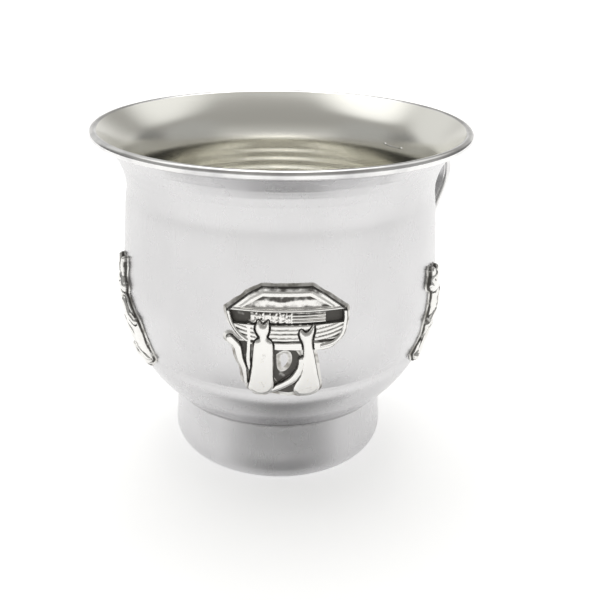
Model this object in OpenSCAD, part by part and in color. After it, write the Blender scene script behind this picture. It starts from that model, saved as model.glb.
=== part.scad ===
// One-handled footed child's cup in silver, with three cast ornaments soldered round its belly.
// Millimetres. The origin is the centre of the foot's resting plane, +Z is up and -Y is the front.
// An azimuth turns from the front (-Y) towards +X.

/* [Cup] */
// Diameter over the rim wire
rim_d = 80; // [76:0.5:86]
// Height from the resting plane to the top of the rim wire
cup_h = 74.8; // [74:0.2:78]
// Greatest diameter of the belly
belly_d = 70; // [68:0.5:71]
// Diameter of the neck, below the flared lip
neck_d = 66.2; // [64:0.2:67]
// Diameter at the crease above the rounded bottom
crease_d = 65.4; // [63:0.2:66]
// Height of the crease
crease_z = 28.2; // [27:0.2:29]
// Thickness of the spun sheet
sheet_t = 0.9; // [0.7:0.1:1.3]
// Diameter of the round wire on the rim
rim_wire_d = 1.8; // [1.6:0.1:2.2]

/* [Foot] */
// Greatest diameter of the foot ring
foot_d = 49.4; // [48:0.2:51]
// Height at which the foot ring meets the bowl
foot_h = 15.2; // [14.6:0.2:15.8]
// Inner diameter of the turned-in resting edge
foot_rest_d = 40.5; // [38:0.5:41]

/* [Handle] */
// Azimuth of the handle
handle_az = 122.5; // [100:0.5:180]
// Distance from the cup's axis to the outside of the handle
handle_reach = 49.2; // [48:0.2:54]
// Width of the handle over its edge wires
handle_w = 7.2; // [6:0.2:9]
// Thickness of the strap between the edge wires
strap_t = 1.2; // [1:0.1:1.6]
// Section of each edge wire
edge_wire_d = 1.4; // [1.2:0.1:1.8]

/* [Ornaments] */
// Azimuth of the two side ornaments, to the right and to the left of the front
side_az = 75; // [60:1:80]
// Thickness of the low ledges between the cats
ledge_t = 0.4; // [0.3:0.1:0.5]
// Thickness of the castings' ground
ground_t = 0.8; // [0.6:0.1:1]
// Thickness of the ark and of the animals' bodies
relief_t = 1.3; // [1.1:0.1:1.4]
// Thickness of the proudest figures
figure_t = 1.7; // [1.5:0.1:1.9]
// Width of the solder that runs round each casting
solder_w = 0.8; // [0.4:0.1:1]
// Thickness of the solder against the belly
solder_t = 0.35; // [0.2:0.05:0.5]

/* [Hidden] */
silver = "Gainsboro";
wire_silver = "WhiteSmoke";
solder_grey = "DarkGray";
cast_silver = "Silver";

rim_r = rim_d / 2;
belly_r = belly_d / 2;
neck_r = neck_d / 2;
crease_r = crease_d / 2;
foot_r = foot_d / 2;
wire_r = rim_wire_d / 2;
joint_r = foot_r + 0.4;
far = 60;
round_fn = 96;

// A Catmull-Rom curve through the points p, with n steps from one point to the next.
function blend(a, b, c, d, t) =
    ((2 * b) + (c - a) * t + (2 * a - 5 * b + 4 * c - d) * t * t + (3 * b - a - 3 * c + d) * t * t * t) / 2;
function curve(p, n) = let (last = len(p) - 1) concat(
    [for (i = [0:last - 1], k = [0:n - 1])
        blend(p[max(i - 1, 0)], p[i], p[i + 1], p[min(i + 2, last)], k / n)],
    [p[last]]);
// The direction of a row of points at its point i, and the row moved sideways by d.
function heading(p, i) = let (v = p[min(i + 1, len(p) - 1)] - p[max(i - 1, 0)]) v / norm(v);
function beside(p, d) = [for (i = [0:len(p) - 1]) let (v = heading(p, i)) p[i] + d * [-v[1], v[0]]];
function reversed(p) = [for (i = [len(p) - 1:-1:0]) p[i]];
function mirrored(p) = [for (q = reversed(p)) [-q[0], q[1]]];

// The outside of the bowl as [radius, height]: the dished floor, the rounded bottom up to a small bead
// under the crease, and one curve for the belly, the neck and the lip.
floor_curve = curve([
    [0, foot_h - 3],
    [joint_r * 0.55, foot_h - 2.6],
    [joint_r - 0.4, foot_h - 0.6]
], 3);
bottom_curve = curve([
    [joint_r, foot_h],
    [foot_r + 4.5, foot_h + 4.6],
    [crease_r - 0.6, crease_z - 3.8],
    [crease_r + 0.2, crease_z - 1.5],
    [crease_r, crease_z]
], 3);
side_curve = curve([
    [crease_r, crease_z],
    [belly_r - 0.8, crease_z + 5.2],
    [belly_r, crease_z + 12],
    [belly_r - 0.6, crease_z + 21],
    [neck_r + 0.5, cup_h - 16],
    [neck_r, cup_h - 12],
    [neck_r + 0.5, cup_h - 8.9],
    [neck_r + 2, cup_h - 5.2],
    [rim_r - 1.5, cup_h - 1.6]
], 4);
function tail_of(p) = [for (i = [1:len(p) - 1]) p[i]];
outside = concat(floor_curve, bottom_curve, tail_of(side_curve));
inside = [for (q = beside(outside, sheet_t)) [max(q[0], 0), q[1]]];

// The space within the bowl's outside, grown sideways by d. Everything soldered on is cut back to it.
module bowl_space(d = 0) {
    rotate_extrude($fn = round_fn)
        polygon(concat([for (q = outside) [q[0] + (q[0] > 0 ? d : 0), q[1]]], [[0, cup_h - 1.6]]));
}

// The belly alone, grown sideways by d, over the heights that the ornaments cover.
module belly_space(d) {
    side = concat(tail_of(bottom_curve), tail_of(side_curve));
    rotate_extrude($fn = round_fn)
        polygon(concat([[0, side[0][1]]], [for (q = side) [q[0] + d, q[1]]], [[0, side[len(side) - 1][1]]]));
}

module rim_wire() {
    color(wire_silver)
        rotate_extrude($fn = round_fn)
            translate([rim_r - wire_r, cup_h - wire_r]) circle(r = wire_r, $fn = 32);
}

module bowl() {
    color(silver)
        difference() {
            rotate_extrude($fn = round_fn) polygon(concat(outside, reversed(inside)));
            rim_wire();
        }
}

// The foot: a spun collar with a slight waist, whose lower edge is rolled in to rest on.
foot_roll = 3.4;
foot_outside = concat(
    [for (a = [-90:15:0]) [foot_r - foot_roll + foot_roll * cos(a), foot_roll + foot_roll * sin(a)]],
    tail_of(curve([
        [foot_r, foot_roll],
        [foot_r - 0.1, foot_roll + 1.6],
        [foot_r - 0.4, foot_h * 0.55],
        [foot_r - 0.4, foot_h * 0.78],
        [foot_r - 0.1, foot_h + 0.4]
    ], 3)));
foot_profile = concat([[foot_rest_d / 2, 0]], foot_outside, reversed(beside(foot_outside, sheet_t)),
    [[foot_rest_d / 2, sheet_t]]);

module foot_ring() {
    color(silver)
        difference() {
            rotate_extrude($fn = round_fn) polygon(foot_profile);
            bowl_space();
        }
}

module foot_solder() {
    color(solder_grey)
        difference() {
            rotate_extrude($fn = round_fn)
                translate([foot_r + 0.2, foot_h]) circle(r = 0.6, $fn = 24);
            bowl_space();
            rotate_extrude($fn = round_fn)
                polygon(concat([[0, 0]], foot_outside, [[0, foot_h + 0.4]]));
        }
}

// The middle line of the handle as [distance from the axis, height], from the neck to the rounded bottom.
handle_line = curve([
    [neck_r - 1.5, cup_h - 10.2],
    [neck_r + 6, cup_h - 7.6],
    [handle_reach - 5, cup_h - 9.2],
    [handle_reach - 1.2, cup_h - 13.4],
    [handle_reach - strap_t / 2, cup_h - 18.6],
    [handle_reach - 3.6, crease_z + 21],
    [handle_reach - 9, crease_z + 9],
    [crease_r + 3.4, crease_z + 2.6],
    [crease_r - 1.5, crease_z + 1.6]
], 4);

// A flat bar that follows the handle's line, w wide and t thick, centred at the distance s from its middle.
module handle_bar(w, t, s) {
    rotate([0, 0, handle_az - 90])
        translate([0, s + w / 2, 0])
            rotate([90, 0, 0])
                linear_extrude(w)
                    polygon(concat(beside(handle_line, t / 2), reversed(beside(handle_line, -t / 2))));
}
wire_s = (handle_w - edge_wire_d) / 2;

module handle_strap() {
    color(silver)
        difference() {
            handle_bar(handle_w - 2 * edge_wire_d, strap_t, 0);
            bowl_space();
        }
}

module handle_wire(s) {
    color(wire_silver)
        difference() {
            handle_bar(edge_wire_d, edge_wire_d + 0.3, s);
            bowl_space();
        }
}
module handle_wire_near() { handle_wire(-wire_s); }
module handle_wire_far() { handle_wire(wire_s); }

// Solder drawn round the handle's end whose middle is at the height z.
module handle_solder(z, tall) {
    color(solder_grey)
        difference() {
            intersection() {
                bowl_space(0.7);
                rotate([0, 0, handle_az - 90])
                    translate([belly_r * 0.7, -handle_w / 2 - solder_w, z - tall / 2])
                        cube([belly_r, handle_w + 2 * solder_w, tall]);
            }
            bowl_space();
            handle_bar(handle_w, edge_wire_d + 0.3, 0);
        }
}
module handle_solder_upper() { handle_solder(cup_h - 10, 4.2); }
module handle_solder_lower() { handle_solder(crease_z + 1.9, 4.6); }

// Cuts a drawing in [sideways, height] out of the belly's skin, t thick, at the front.
module skin(t) {
    intersection() {
        belly_space(t);
        rotate([90, 0, 0]) linear_extrude(far) children();
    }
}
module on_belly(az) { rotate([0, 0, az]) children(); }

// A rounded stroke of radius r along the points p, and a square-ended band of the same kind along a curve.
module stroke(p, r) {
    for (i = [0:len(p) - 2])
        hull() {
            translate(p[i]) circle(r = r, $fn = 24);
            translate(p[i + 1]) circle(r = r, $fn = 24);
        }
}
module band(p, r) {
    line = curve(p, 4);
    polygon(concat(beside(line, r), reversed(beside(line, -r))));
}

// The ark: a hipped roof over a cabin, in a round-ended hull.
ark_half = 11.4;
roof_z = 51.7;
eave_z = 47.3;
deck_z = 44.3;
keel_z = 39;
roof_side = [[4.7, roof_z], [7.1, roof_z - 1.6], [10.8, eave_z]];
module ark_roof() {
    polygon(concat(roof_side, mirrored(roof_side)));
}
hull_side = curve([
    [0, keel_z],
    [5.5, keel_z + 0.2],
    [9.2, keel_z + 2],
    [ark_half - 0.7, deck_z],
    [ark_half, eave_z - 0.4]
], 4);
module ark_hull() {
    top = [[ark_half - 1.1, eave_z], [-ark_half + 1.1, eave_z]];
    polygon(concat(hull_side, top, mirrored(tail_of(hull_side))));
}

// Two standing cats seen from behind, each on a broad base with a narrow neck, a small head and two ears.
function closed(p) = tail_of(curve(concat(p, [p[0]]), 3));
left_cat = closed([
    [-6, 28.2], [-7.4, 29.4], [-7, 33], [-6.5, 37], [-6.3, 40.6],
    [-5.4, 41.8], [-6, 43.2], [-5.4, 45.2], [-4.6, 44.5], [-3.6, 45.2],
    [-3.4, 43.2], [-3.6, 41.8], [-2.7, 40.8], [-2.5, 37], [-2.4, 31], [-4.2, 28]
]);
right_cat = closed([
    [2.2, 28], [1.4, 29.6], [2.5, 33], [3, 36.4], [3, 40.2],
    [2.3, 42], [2.6, 43.3], [3.6, 43], [5, 44.3], [5.1, 42],
    [5, 40], [5.8, 35.6], [6.7, 30.4], [6, 28.2], [4.4, 27.7]
]);
module cats() {
    polygon(left_cat);
    polygon(right_cat);
}
tail_line = [[3.2, 36.6], [2.3, 33.8], [0.4, 31.4], [-2.2, 29.7]];
ribbon_line = [[-10.4, 40.8], [-9.2, 38.6], [-8.6, 35.8], [-7.2, 33]];

// The low ground that joins them: round an open gap, beside the streamer and under the tail.
gap_round = closed([[-1.7, 37.8], [-0.4, 38.5], [0.7, 37.4], [0.4, 35.2], [-0.8, 34.2], [-1.8, 35.6]]);
module ark_ledges() {
    difference() {
        polygon([[-2.8, 39.4], [1.6, 39.4], [3.2, 37], [2.3, 33.8], [-1.6, 30.8], [-3, 33]]);
        polygon(gap_round);
    }
    polygon([[-9.6, 40.6], [-6.4, 41], [-6.4, 33], [-8, 34.2], [-8.8, 37]]);
    polygon([[-3, 29], [3, 33], [3.4, 28.6], [0.6, 28], [-2.6, 28.6]]);
}

module ark_outline() {
    ark_roof();
    ark_hull();
    ark_ledges();
    cats();
    band(tail_line, 0.9);
    band(ribbon_line, 0.6);
}

module ark_casting() {
    color(cast_silver)
        difference() {
            union() {
                skin(ledge_t) ark_ledges();
                skin(ground_t) {
                    band(tail_line, 0.9);
                    band(ribbon_line, 0.6);
                }
                skin(relief_t) ark_roof();
                skin(relief_t) ark_hull();
                skin(figure_t) cats();
            }
            bowl_space();
        }
}

module ark_solder() { solder_round() ark_outline(); }

// Solder round a casting of the drawn outline, outside it and no deeper than solder_t.
module solder_round() {
    color(solder_grey)
        difference() {
            skin(solder_t) offset(r = solder_w, $fn = 16) children();
            rotate([90, 0, 0]) linear_extrude(far) children();
            bowl_space();
        }
}

// The bear cub, seated and turned towards the front: head and snout, back, arm, knee and foot.
bear_back = curve([
    [-6.4, 43], [-3, 43.6], [1.5, 41], [4.6, 36],
    [5.8, 31], [4, 27], [0, 25.6]
], 3);
bear_front = curve([
    [-4, 25.4], [-9.6, 26.4], [-9.4, 29.6], [-7.6, 32],
    [-8.6, 35], [-8, 39], [-7.6, 43]
], 3);
bear_head = [-6.9, 44.9];
bear_head_r = 2.9;
module bear_outline() {
    polygon(concat(bear_back, bear_front));
    translate(bear_head) circle(r = bear_head_r, $fn = 48);
    for (ear = [[-1.2, 2.6], [2.1, 1.9]]) translate(bear_head + ear) circle(r = 1, $fn = 24);
    stroke([[5, 29], [6.6, 27.2]], 0.9);
}
module bear_casting() {
    color(cast_silver)
        on_belly(side_az)
            difference() {
                union() {
                    skin(relief_t) bear_outline();
                    skin(figure_t) translate(bear_head) circle(r = bear_head_r - 0.5, $fn = 48);
                    skin(figure_t) stroke([[-2.6, 40.5], [-4.6, 37], [-8, 36.2]], 0.9);
                    skin(figure_t) stroke([[1.6, 29.4], [-5.4, 33.4], [-7.8, 27.6]], 1.1);
                }
                bowl_space();
            }
}
module bear_solder() { on_belly(side_az) solder_round() bear_outline(); }

// The rabbit, upright and turned towards the front: ears, head, chest, knees and long feet.
rabbit_back = curve([
    [-2.6, 42.4], [-4.6, 38], [-5.6, 32],
    [-4.6, 27.6], [-1, 25.6]
], 3);
rabbit_front = curve([
    [9.8, 25.8], [11.6, 28.2], [11.2, 31], [10.2, 36.4],
    [7.4, 38.6], [5.2, 40.6], [3.2, 42.6]
], 3);
rabbit_head = [1, 43];
module rabbit_outline() {
    polygon(concat(reversed(rabbit_front), reversed(rabbit_back)));
    translate(rabbit_head) circle(r = 3, $fn = 48);
    stroke([[0.4, 44.6], [-0.8, 48.2]], 0.9);
    stroke([[2.4, 44.6], [2.6, 48.4]], 0.9);
}
module rabbit_casting() {
    color(cast_silver)
        on_belly(-side_az)
            difference() {
                union() {
                    skin(relief_t) rabbit_outline();
                    skin(figure_t) translate(rabbit_head) circle(r = 2.5, $fn = 48);
                    skin(figure_t) stroke([[3.2, 38.8], [6, 36.4], [8.6, 36.2]], 0.9);
                    skin(figure_t) stroke([[0.6, 29.6], [8.4, 32], [10, 27.4]], 1.1);
                }
                bowl_space();
            }
}
module rabbit_solder() { on_belly(-side_az) solder_round() rabbit_outline(); }

bowl();
rim_wire();
foot_ring();
foot_solder();
handle_strap();
handle_wire_near();
handle_wire_far();
handle_solder_upper();
handle_solder_lower();
ark_casting();
ark_solder();
bear_casting();
bear_solder();
rabbit_casting();
rabbit_solder();
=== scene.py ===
"""A footed, one-handled child's cup in polished silver, dressed for rendering around its CAD frame.

Lengths are in metres. The cup stands on the origin, +Z is up and its front ornament faces -Y. An azimuth turns
from the front towards +X.
"""
import logging
import math
from dataclasses import dataclass, field
from enum import Enum
from typing import Any, Callable, Optional

import bpy
import numpy as np
from mathutils import Matrix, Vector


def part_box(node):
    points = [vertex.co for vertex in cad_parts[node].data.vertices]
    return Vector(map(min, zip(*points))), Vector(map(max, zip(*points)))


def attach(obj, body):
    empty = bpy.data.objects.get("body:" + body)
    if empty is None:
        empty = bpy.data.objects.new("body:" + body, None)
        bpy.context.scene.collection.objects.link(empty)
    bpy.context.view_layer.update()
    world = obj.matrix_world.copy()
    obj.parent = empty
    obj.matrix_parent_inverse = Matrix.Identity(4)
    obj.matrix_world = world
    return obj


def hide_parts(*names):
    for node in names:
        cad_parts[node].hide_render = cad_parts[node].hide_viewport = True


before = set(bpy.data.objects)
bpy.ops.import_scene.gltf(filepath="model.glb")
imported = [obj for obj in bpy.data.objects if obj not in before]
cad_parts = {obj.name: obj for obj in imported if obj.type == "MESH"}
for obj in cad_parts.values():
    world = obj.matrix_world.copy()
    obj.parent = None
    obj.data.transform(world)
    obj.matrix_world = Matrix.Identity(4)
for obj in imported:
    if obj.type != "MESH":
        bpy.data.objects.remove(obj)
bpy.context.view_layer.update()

Array = np.ndarray
MM = 0.001
BODY = "root"
CREASE = 40.0
log = logging.getLogger("cup")


# ---------------------------------------------------------------- curves and meshes

def spline(points: Any, steps: int) -> Array:
    """A Catmull-Rom curve: each span is the cubic through its ends with slopes from its neighbours.

    Args:
        points: (n, 2) stations that the curve passes through.
        steps: samples on each span.

    Returns:
        (m, 2) samples, the last station included.
    """
    p = np.asarray(points, float)
    ends = np.vstack([p[:1], p, p[-1:]])
    t = (np.arange(steps) / steps)[None, :, None]
    a, b, c, d = (ends[i:len(p) - 1 + i, None, :] for i in range(4))
    spans = (2 * b + (c - a) * t + (2 * a - 5 * b + 4 * c - d) * t**2 + (3 * b - a - 3 * c + d) * t**3) / 2
    return np.vstack([spans.reshape(-1, p.shape[1]), p[-1:]])


def eased(line: Array, passes: int) -> Array:
    """The line with its bends softened: each pass moves every inner point to (before + 2 * itself + after) / 4."""
    for _ in range(passes):
        line = np.vstack([line[:1], (line[:-2] + 2 * line[1:-1] + line[2:]) / 4, line[-1:]])
    return line


def beside(line: Array, distance: Any) -> Array:
    """The line moved sideways, to the left of its direction, by a distance that may vary along it."""
    along = np.gradient(line, axis=0)
    along /= np.linalg.norm(along, axis=1, keepdims=True)
    return line + np.column_stack([-along[:, 1], along[:, 0]]) * np.reshape(distance, (-1, 1))


def smooth_step(low: float, high: float, x: Array) -> Array:
    """0 below low, 1 above high, and 3t^2 - 2t^3 between them."""
    t = np.clip((x - low) / (high - low), 0.0, 1.0)
    return t * t * (3 - 2 * t)


def ripple(x: Array, y: Array, scale: float, seed: int) -> Array:
    """A smooth pseudo-random field in -1..1: the mean of six sine waves in directions drawn from the seed.

    Args:
        x: first coordinate, in metres.
        y: second coordinate, in metres.
        scale: the typical wavelength, in metres.
        seed: which drawing of directions, wavelengths and phases to use.
    """
    rng = np.random.default_rng(seed)
    turn, phase = rng.uniform(0, 2 * np.pi, (2, 6))
    wave = 2 * np.pi / (scale * rng.uniform(0.7, 1.6, 6))
    return sum(np.sin(wave[i] * (x * math.cos(turn[i]) + y * math.sin(turn[i])) + phase[i]) for i in range(6)) / 6


def dents(azimuth: Array, height: Array, radius: float, scale: float, seed: int) -> Array:
    """The ripple field wrapped round a cylinder, so that it closes on itself: it is drawn on a slanted plane."""
    x, y = radius * np.sin(azimuth), radius * np.cos(azimuth)
    return ripple(x + 0.6 * height, y - 0.8 * height, scale, seed)


@dataclass
class Surface:
    """Vertices and faces of one closed surface, with numbers stored on its vertices."""

    points: Array
    quads: Array
    triangles: Array = field(default_factory=lambda: np.zeros((0, 3), int))
    marks: dict[str, Array] = field(default_factory=dict)

    def volume(self) -> float:
        """The signed volume: the sum of the tetrahedra from the origin to every triangle."""
        split = np.vstack([self.quads[:, [0, 1, 2]], self.quads[:, [0, 2, 3]], self.triangles])
        a, b, c = (self.points[split[:, i]] for i in range(3))
        return float(np.einsum("ij,ij->i", a, np.cross(b, c)).sum() / 6)

    def facing_out(self) -> "Surface":
        """The same surface, turned so that its faces point outwards."""
        if self.volume() < 0:
            self.quads, self.triangles = self.quads[:, ::-1], self.triangles[:, ::-1]
        return self

    def build(self, name: str, finish: "Finish", stands_for: str, slot: str) -> bpy.types.Object:
        """Makes the Blender object, dresses it and ties it to the frame.

        Args:
            name: the piece's name.
            finish: what it is dressed in.
            stands_for: the CAD node that it replaces.
            slot: the name of a material slot; not used.

        Returns:
            The linked object.
        """
        self.facing_out()
        mesh = bpy.data.meshes.new(name)
        corners = np.concatenate([self.quads.ravel(), self.triangles.ravel()]).astype(np.int32)
        sizes = np.concatenate([np.full(len(self.quads), 4), np.full(len(self.triangles), 3)]).astype(np.int32)
        mesh.vertices.add(len(self.points))
        mesh.vertices.foreach_set("co", self.points.astype(np.float32).ravel())
        mesh.loops.add(len(corners))
        mesh.loops.foreach_set("vertex_index", corners)
        mesh.polygons.add(len(sizes))
        mesh.polygons.foreach_set("loop_start", (np.cumsum(sizes) - sizes).astype(np.int32))
        mesh.polygons.foreach_set("use_smooth", np.ones(len(sizes), bool))
        mesh.update(calc_edges=True)
        for mark, values in self.marks.items():
            mesh.attributes.new(mark, "FLOAT", "POINT").data.foreach_set("value", values.astype(np.float32))
        mesh.set_sharp_from_angle(angle=math.radians(CREASE))
        piece = bpy.data.objects.new(name, mesh)
        bpy.context.scene.collection.objects.link(piece)
        mesh.materials.append(finish.material())
        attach(piece, BODY)
        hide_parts(stands_for)
        log.info("%s: %d vertices, %d faces", name, len(self.points), len(sizes))
        return piece


def grid_quads(rows: int, columns: int, wrap_rows: bool = False, wrap_columns: bool = True) -> Array:
    """The quads of a grid of points stored row by row, closed round on itself where asked."""
    i = np.arange(rows if wrap_rows else rows - 1)[:, None]
    j = np.arange(columns if wrap_columns else columns - 1)[None, :]
    near, far = i * columns, (i + 1) % rows * columns
    right = (j + 1) % columns
    return np.stack([near + j, near + right, far + right, far + j], axis=-1).reshape(-1, 4)


def turn(points: Array, azimuth: float) -> Array:
    """Points turned about Z, from the front towards +X for a positive azimuth in degrees."""
    c, s = math.cos(math.radians(azimuth)), math.sin(math.radians(azimuth))
    return points @ np.array([[c, s, 0], [-s, c, 0], [0, 0, 1]])


def lathe(profile: Array, segments: int, lift: Optional[Callable[[Array, Array], Array]] = None) -> Surface:
    """Turns a profile about Z: (radius, height) becomes (radius sin a, -radius cos a, height) for each azimuth a.

    Args:
        profile: (n, 2) radius and height. It is a closed loop, or starts and ends on the axis.
        segments: steps round the axis.
        lift: extra radius, from the azimuth and the height of each point.
    """
    capped = profile[0, 0] == 0
    rings = profile[1:-1] if capped else profile
    a = np.linspace(0, 2 * np.pi, segments, endpoint=False)[None, :]
    r, z = rings[:, :1] + 0 * a, rings[:, 1:] + 0 * a
    if lift is not None:
        r = r + lift(a + 0 * r, z)
    points = np.stack([r * np.sin(a), -r * np.cos(a), z], axis=-1).reshape(-1, 3)
    quads = grid_quads(len(rings), segments, wrap_rows=not capped)
    if not capped:
        return Surface(points, quads)
    poles = [[0, 0, profile[0, 1]], [0, 0, profile[-1, 1]]]
    first, last = len(points), len(points) + 1
    j, k = np.arange(segments), (np.arange(segments) + 1) % segments
    top = (len(rings) - 1) * segments
    fans = np.vstack([np.column_stack([np.full(segments, first), k, j]),
                      np.column_stack([np.full(segments, last), top + j, top + k])])
    return Surface(np.vstack([points, poles]), quads, fans)


def sweep(path: Array, across: Array, section: Array) -> Surface:
    """Carries a closed section along a path: each point is path + s * across + t * (the path's normal).

    Args:
        path: (n, 3) points.
        across: the fixed direction that the section's first coordinate lies along.
        section: (n, m, 2) coordinates s and t of the section at each point of the path.

    Returns:
        The tube, with both ends closed by a fan.
    """
    along = np.gradient(path, axis=0)
    along /= np.linalg.norm(along, axis=1, keepdims=True)
    normal = np.cross(along, across)
    points = path[:, None] + section[..., :1] * across + section[..., 1:] * normal[:, None]
    rows, columns = section.shape[:2]
    flat = points.reshape(-1, 3)
    first, last = len(flat), len(flat) + 1
    j, k = np.arange(columns), (np.arange(columns) + 1) % columns
    top = (rows - 1) * columns
    fans = np.vstack([np.column_stack([np.full(columns, first), k, j]),
                      np.column_stack([np.full(columns, last), top + j, top + k])])
    return Surface(np.vstack([flat, path[:1], path[-1:]]), grid_quads(rows, columns), fans)


# ---------------------------------------------------------------- distance drawings

class Shape:
    """Signed distances to flat shapes, negative inside, for the outlines and steps of the castings."""

    @staticmethod
    def disc(u: Array, v: Array, centre: tuple[float, float], radius: float) -> Array:
        """Distance to a disc."""
        return np.hypot(u - centre[0], v - centre[1]) - radius

    @staticmethod
    def limb(u: Array, v: Array, points: Any, radii: Any) -> Array:
        """Distance to a chain of round strokes whose radius changes evenly from each point to the next."""
        best = np.full(np.shape(u), 1e9)
        for (a, ra), (b, rb) in zip(zip(points[:-1], radii[:-1]), zip(points[1:], radii[1:])):
            dx, dy = b[0] - a[0], b[1] - a[1]
            t = np.clip(((u - a[0]) * dx + (v - a[1]) * dy) / (dx * dx + dy * dy), 0, 1)
            best = np.minimum(best, np.hypot(u - a[0] - t * dx, v - a[1] - t * dy) - ra - t * (rb - ra))
        return best

    @staticmethod
    def outline(u: Array, v: Array, points: Any) -> Array:
        """Distance to a polygon's nearest side, negative where a ray to the right crosses an odd number of sides."""
        p = np.asarray(points, float)
        q = np.roll(p, -1, axis=0)
        best, inside = np.full(np.shape(u), 1e9), np.zeros(np.shape(u), bool)
        for (ax, ay), (bx, by) in zip(p, q):
            dx, dy = bx - ax, by - ay
            t = np.clip(((u - ax) * dx + (v - ay) * dy) / (dx * dx + dy * dy), 0, 1)
            best = np.minimum(best, np.hypot(u - ax - t * dx, v - ay - t * dy))
            crosses = ((ay > v) != (by > v)) & (u < (bx - ax) * (v - ay) / (by - ay if by != ay else 1e-12) + ax)
            inside ^= crosses
        return np.where(inside, -best, best)

    @staticmethod
    def join(first: Array, *others: Array, round_by: float = 0.0) -> Array:
        """The union of shapes, with the inner corners filled to about the given radius."""
        best = first
        for other in others:
            if round_by:
                h = np.clip(0.5 + 0.5 * (other - best) / round_by, 0, 1)
                best = other + (best - other) * h - round_by * h * (1 - h)
            else:
                best = np.minimum(best, other)
        return best


def dome(d: Array, width: float, height: float) -> Array:
    """A quarter-round edge: height * sqrt(1 - (1 - depth / width)^2), where depth is how far inside the shape."""
    depth = np.clip(-d / width, 0, 1)
    return height * np.sqrt(np.clip(1 - (1 - depth) ** 2, 0, 1))


def blurred(h: Array, reach: int) -> Array:
    """The field smoothed by two box means of 2 * reach + 1 samples each way, from running sums."""
    for _ in range(2):
        for axis in (0, 1):
            padded = np.pad(h, [(reach + 1, reach) if i == axis else (0, 0) for i in (0, 1)], mode="edge")
            total = np.cumsum(padded, axis=axis)
            size = 2 * reach + 1
            high = np.take(total, np.arange(size, total.shape[axis]), axis=axis)
            low = np.take(total, np.arange(0, total.shape[axis] - size), axis=axis)
            h = (high - low) / size
    return h


# ---------------------------------------------------------------- shader building

class Value:
    """A shader socket that arithmetic works on. Each operation adds one Math node."""

    def __init__(self, paint: "Tree", socket: Any) -> None:
        """Wraps a socket of the material that paint builds."""
        self.paint, self.socket = paint, socket

    def _math(self, operation: str, *values: Any, clamp: bool = False) -> "Value":
        """One Math node on the values, in their order."""
        made = self.paint.node("ShaderNodeMath", {"operation": operation, "use_clamp": clamp},
                               {i: v for i, v in enumerate(values)})
        return made["Value"]

    def __add__(self, other: Any) -> "Value":
        """self + other."""
        return self._math("ADD", self, other)

    def __sub__(self, other: Any) -> "Value":
        """self - other."""
        return self._math("SUBTRACT", self, other)

    def __rsub__(self, other: Any) -> "Value":
        """other - self."""
        return self._math("SUBTRACT", other, self)

    def __mul__(self, other: Any) -> "Value":
        """self * other."""
        return self._math("MULTIPLY", self, other)

    def __pow__(self, other: Any) -> "Value":
        """self to the power of other."""
        return self._math("POWER", self, other)

    __radd__, __rmul__ = __add__, __mul__

    def ramp(self, low: float, high: float) -> "Value":
        """0 where self is below low, 1 above high, smooth between them."""
        made = self.paint.node("ShaderNodeMapRange", {"interpolation_type": "SMOOTHSTEP", "clamp": True},
                               {"Value": self, "From Min": low, "From Max": high})
        return made["Result"]


class Made:
    """A node that was just added, whose outputs are read by name."""

    def __init__(self, paint: "Tree", node: Any) -> None:
        """Wraps the node."""
        self.paint, self.node = paint, node

    def __getitem__(self, name: str) -> Value:
        """The first enabled output of that name."""
        found = [s for s in self.node.outputs if s.name == name and s.enabled]
        return Value(self.paint, found[0])


class Tree:
    """A node tree that is built from nothing."""

    def __init__(self, tree: bpy.types.NodeTree) -> None:
        """Takes over the tree and empties it."""
        self.tree = tree
        self.tree.nodes.clear()

    def node(self, kind: str, settings: dict[str, Any], inputs: dict[Any, Any]) -> Made:
        """Adds a node.

        Args:
            kind: the node's type.
            settings: properties to set first, such as a Math node's operation.
            inputs: socket name or number to a constant or a Value.
        """
        node = self.tree.nodes.new(kind)
        for key, value in settings.items():
            setattr(node, key, value)
        for key, value in inputs.items():
            socket = node.inputs[key]
            if isinstance(key, str):
                socket = [s for s in node.inputs if s.name == key and s.enabled][0]
            if isinstance(value, Value):
                self.tree.links.new(value.socket, socket)
            else:
                socket.default_value = value
        return Made(self, node)

    def mix(self, factor: Any, first: Any, second: Any) -> Value:
        """A colour between the first, at factor 0, and the second, at factor 1."""
        made = self.node("ShaderNodeMix", {"data_type": "RGBA"}, {"Factor": factor, "A": first, "B": second})
        return made["Result"]


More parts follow.
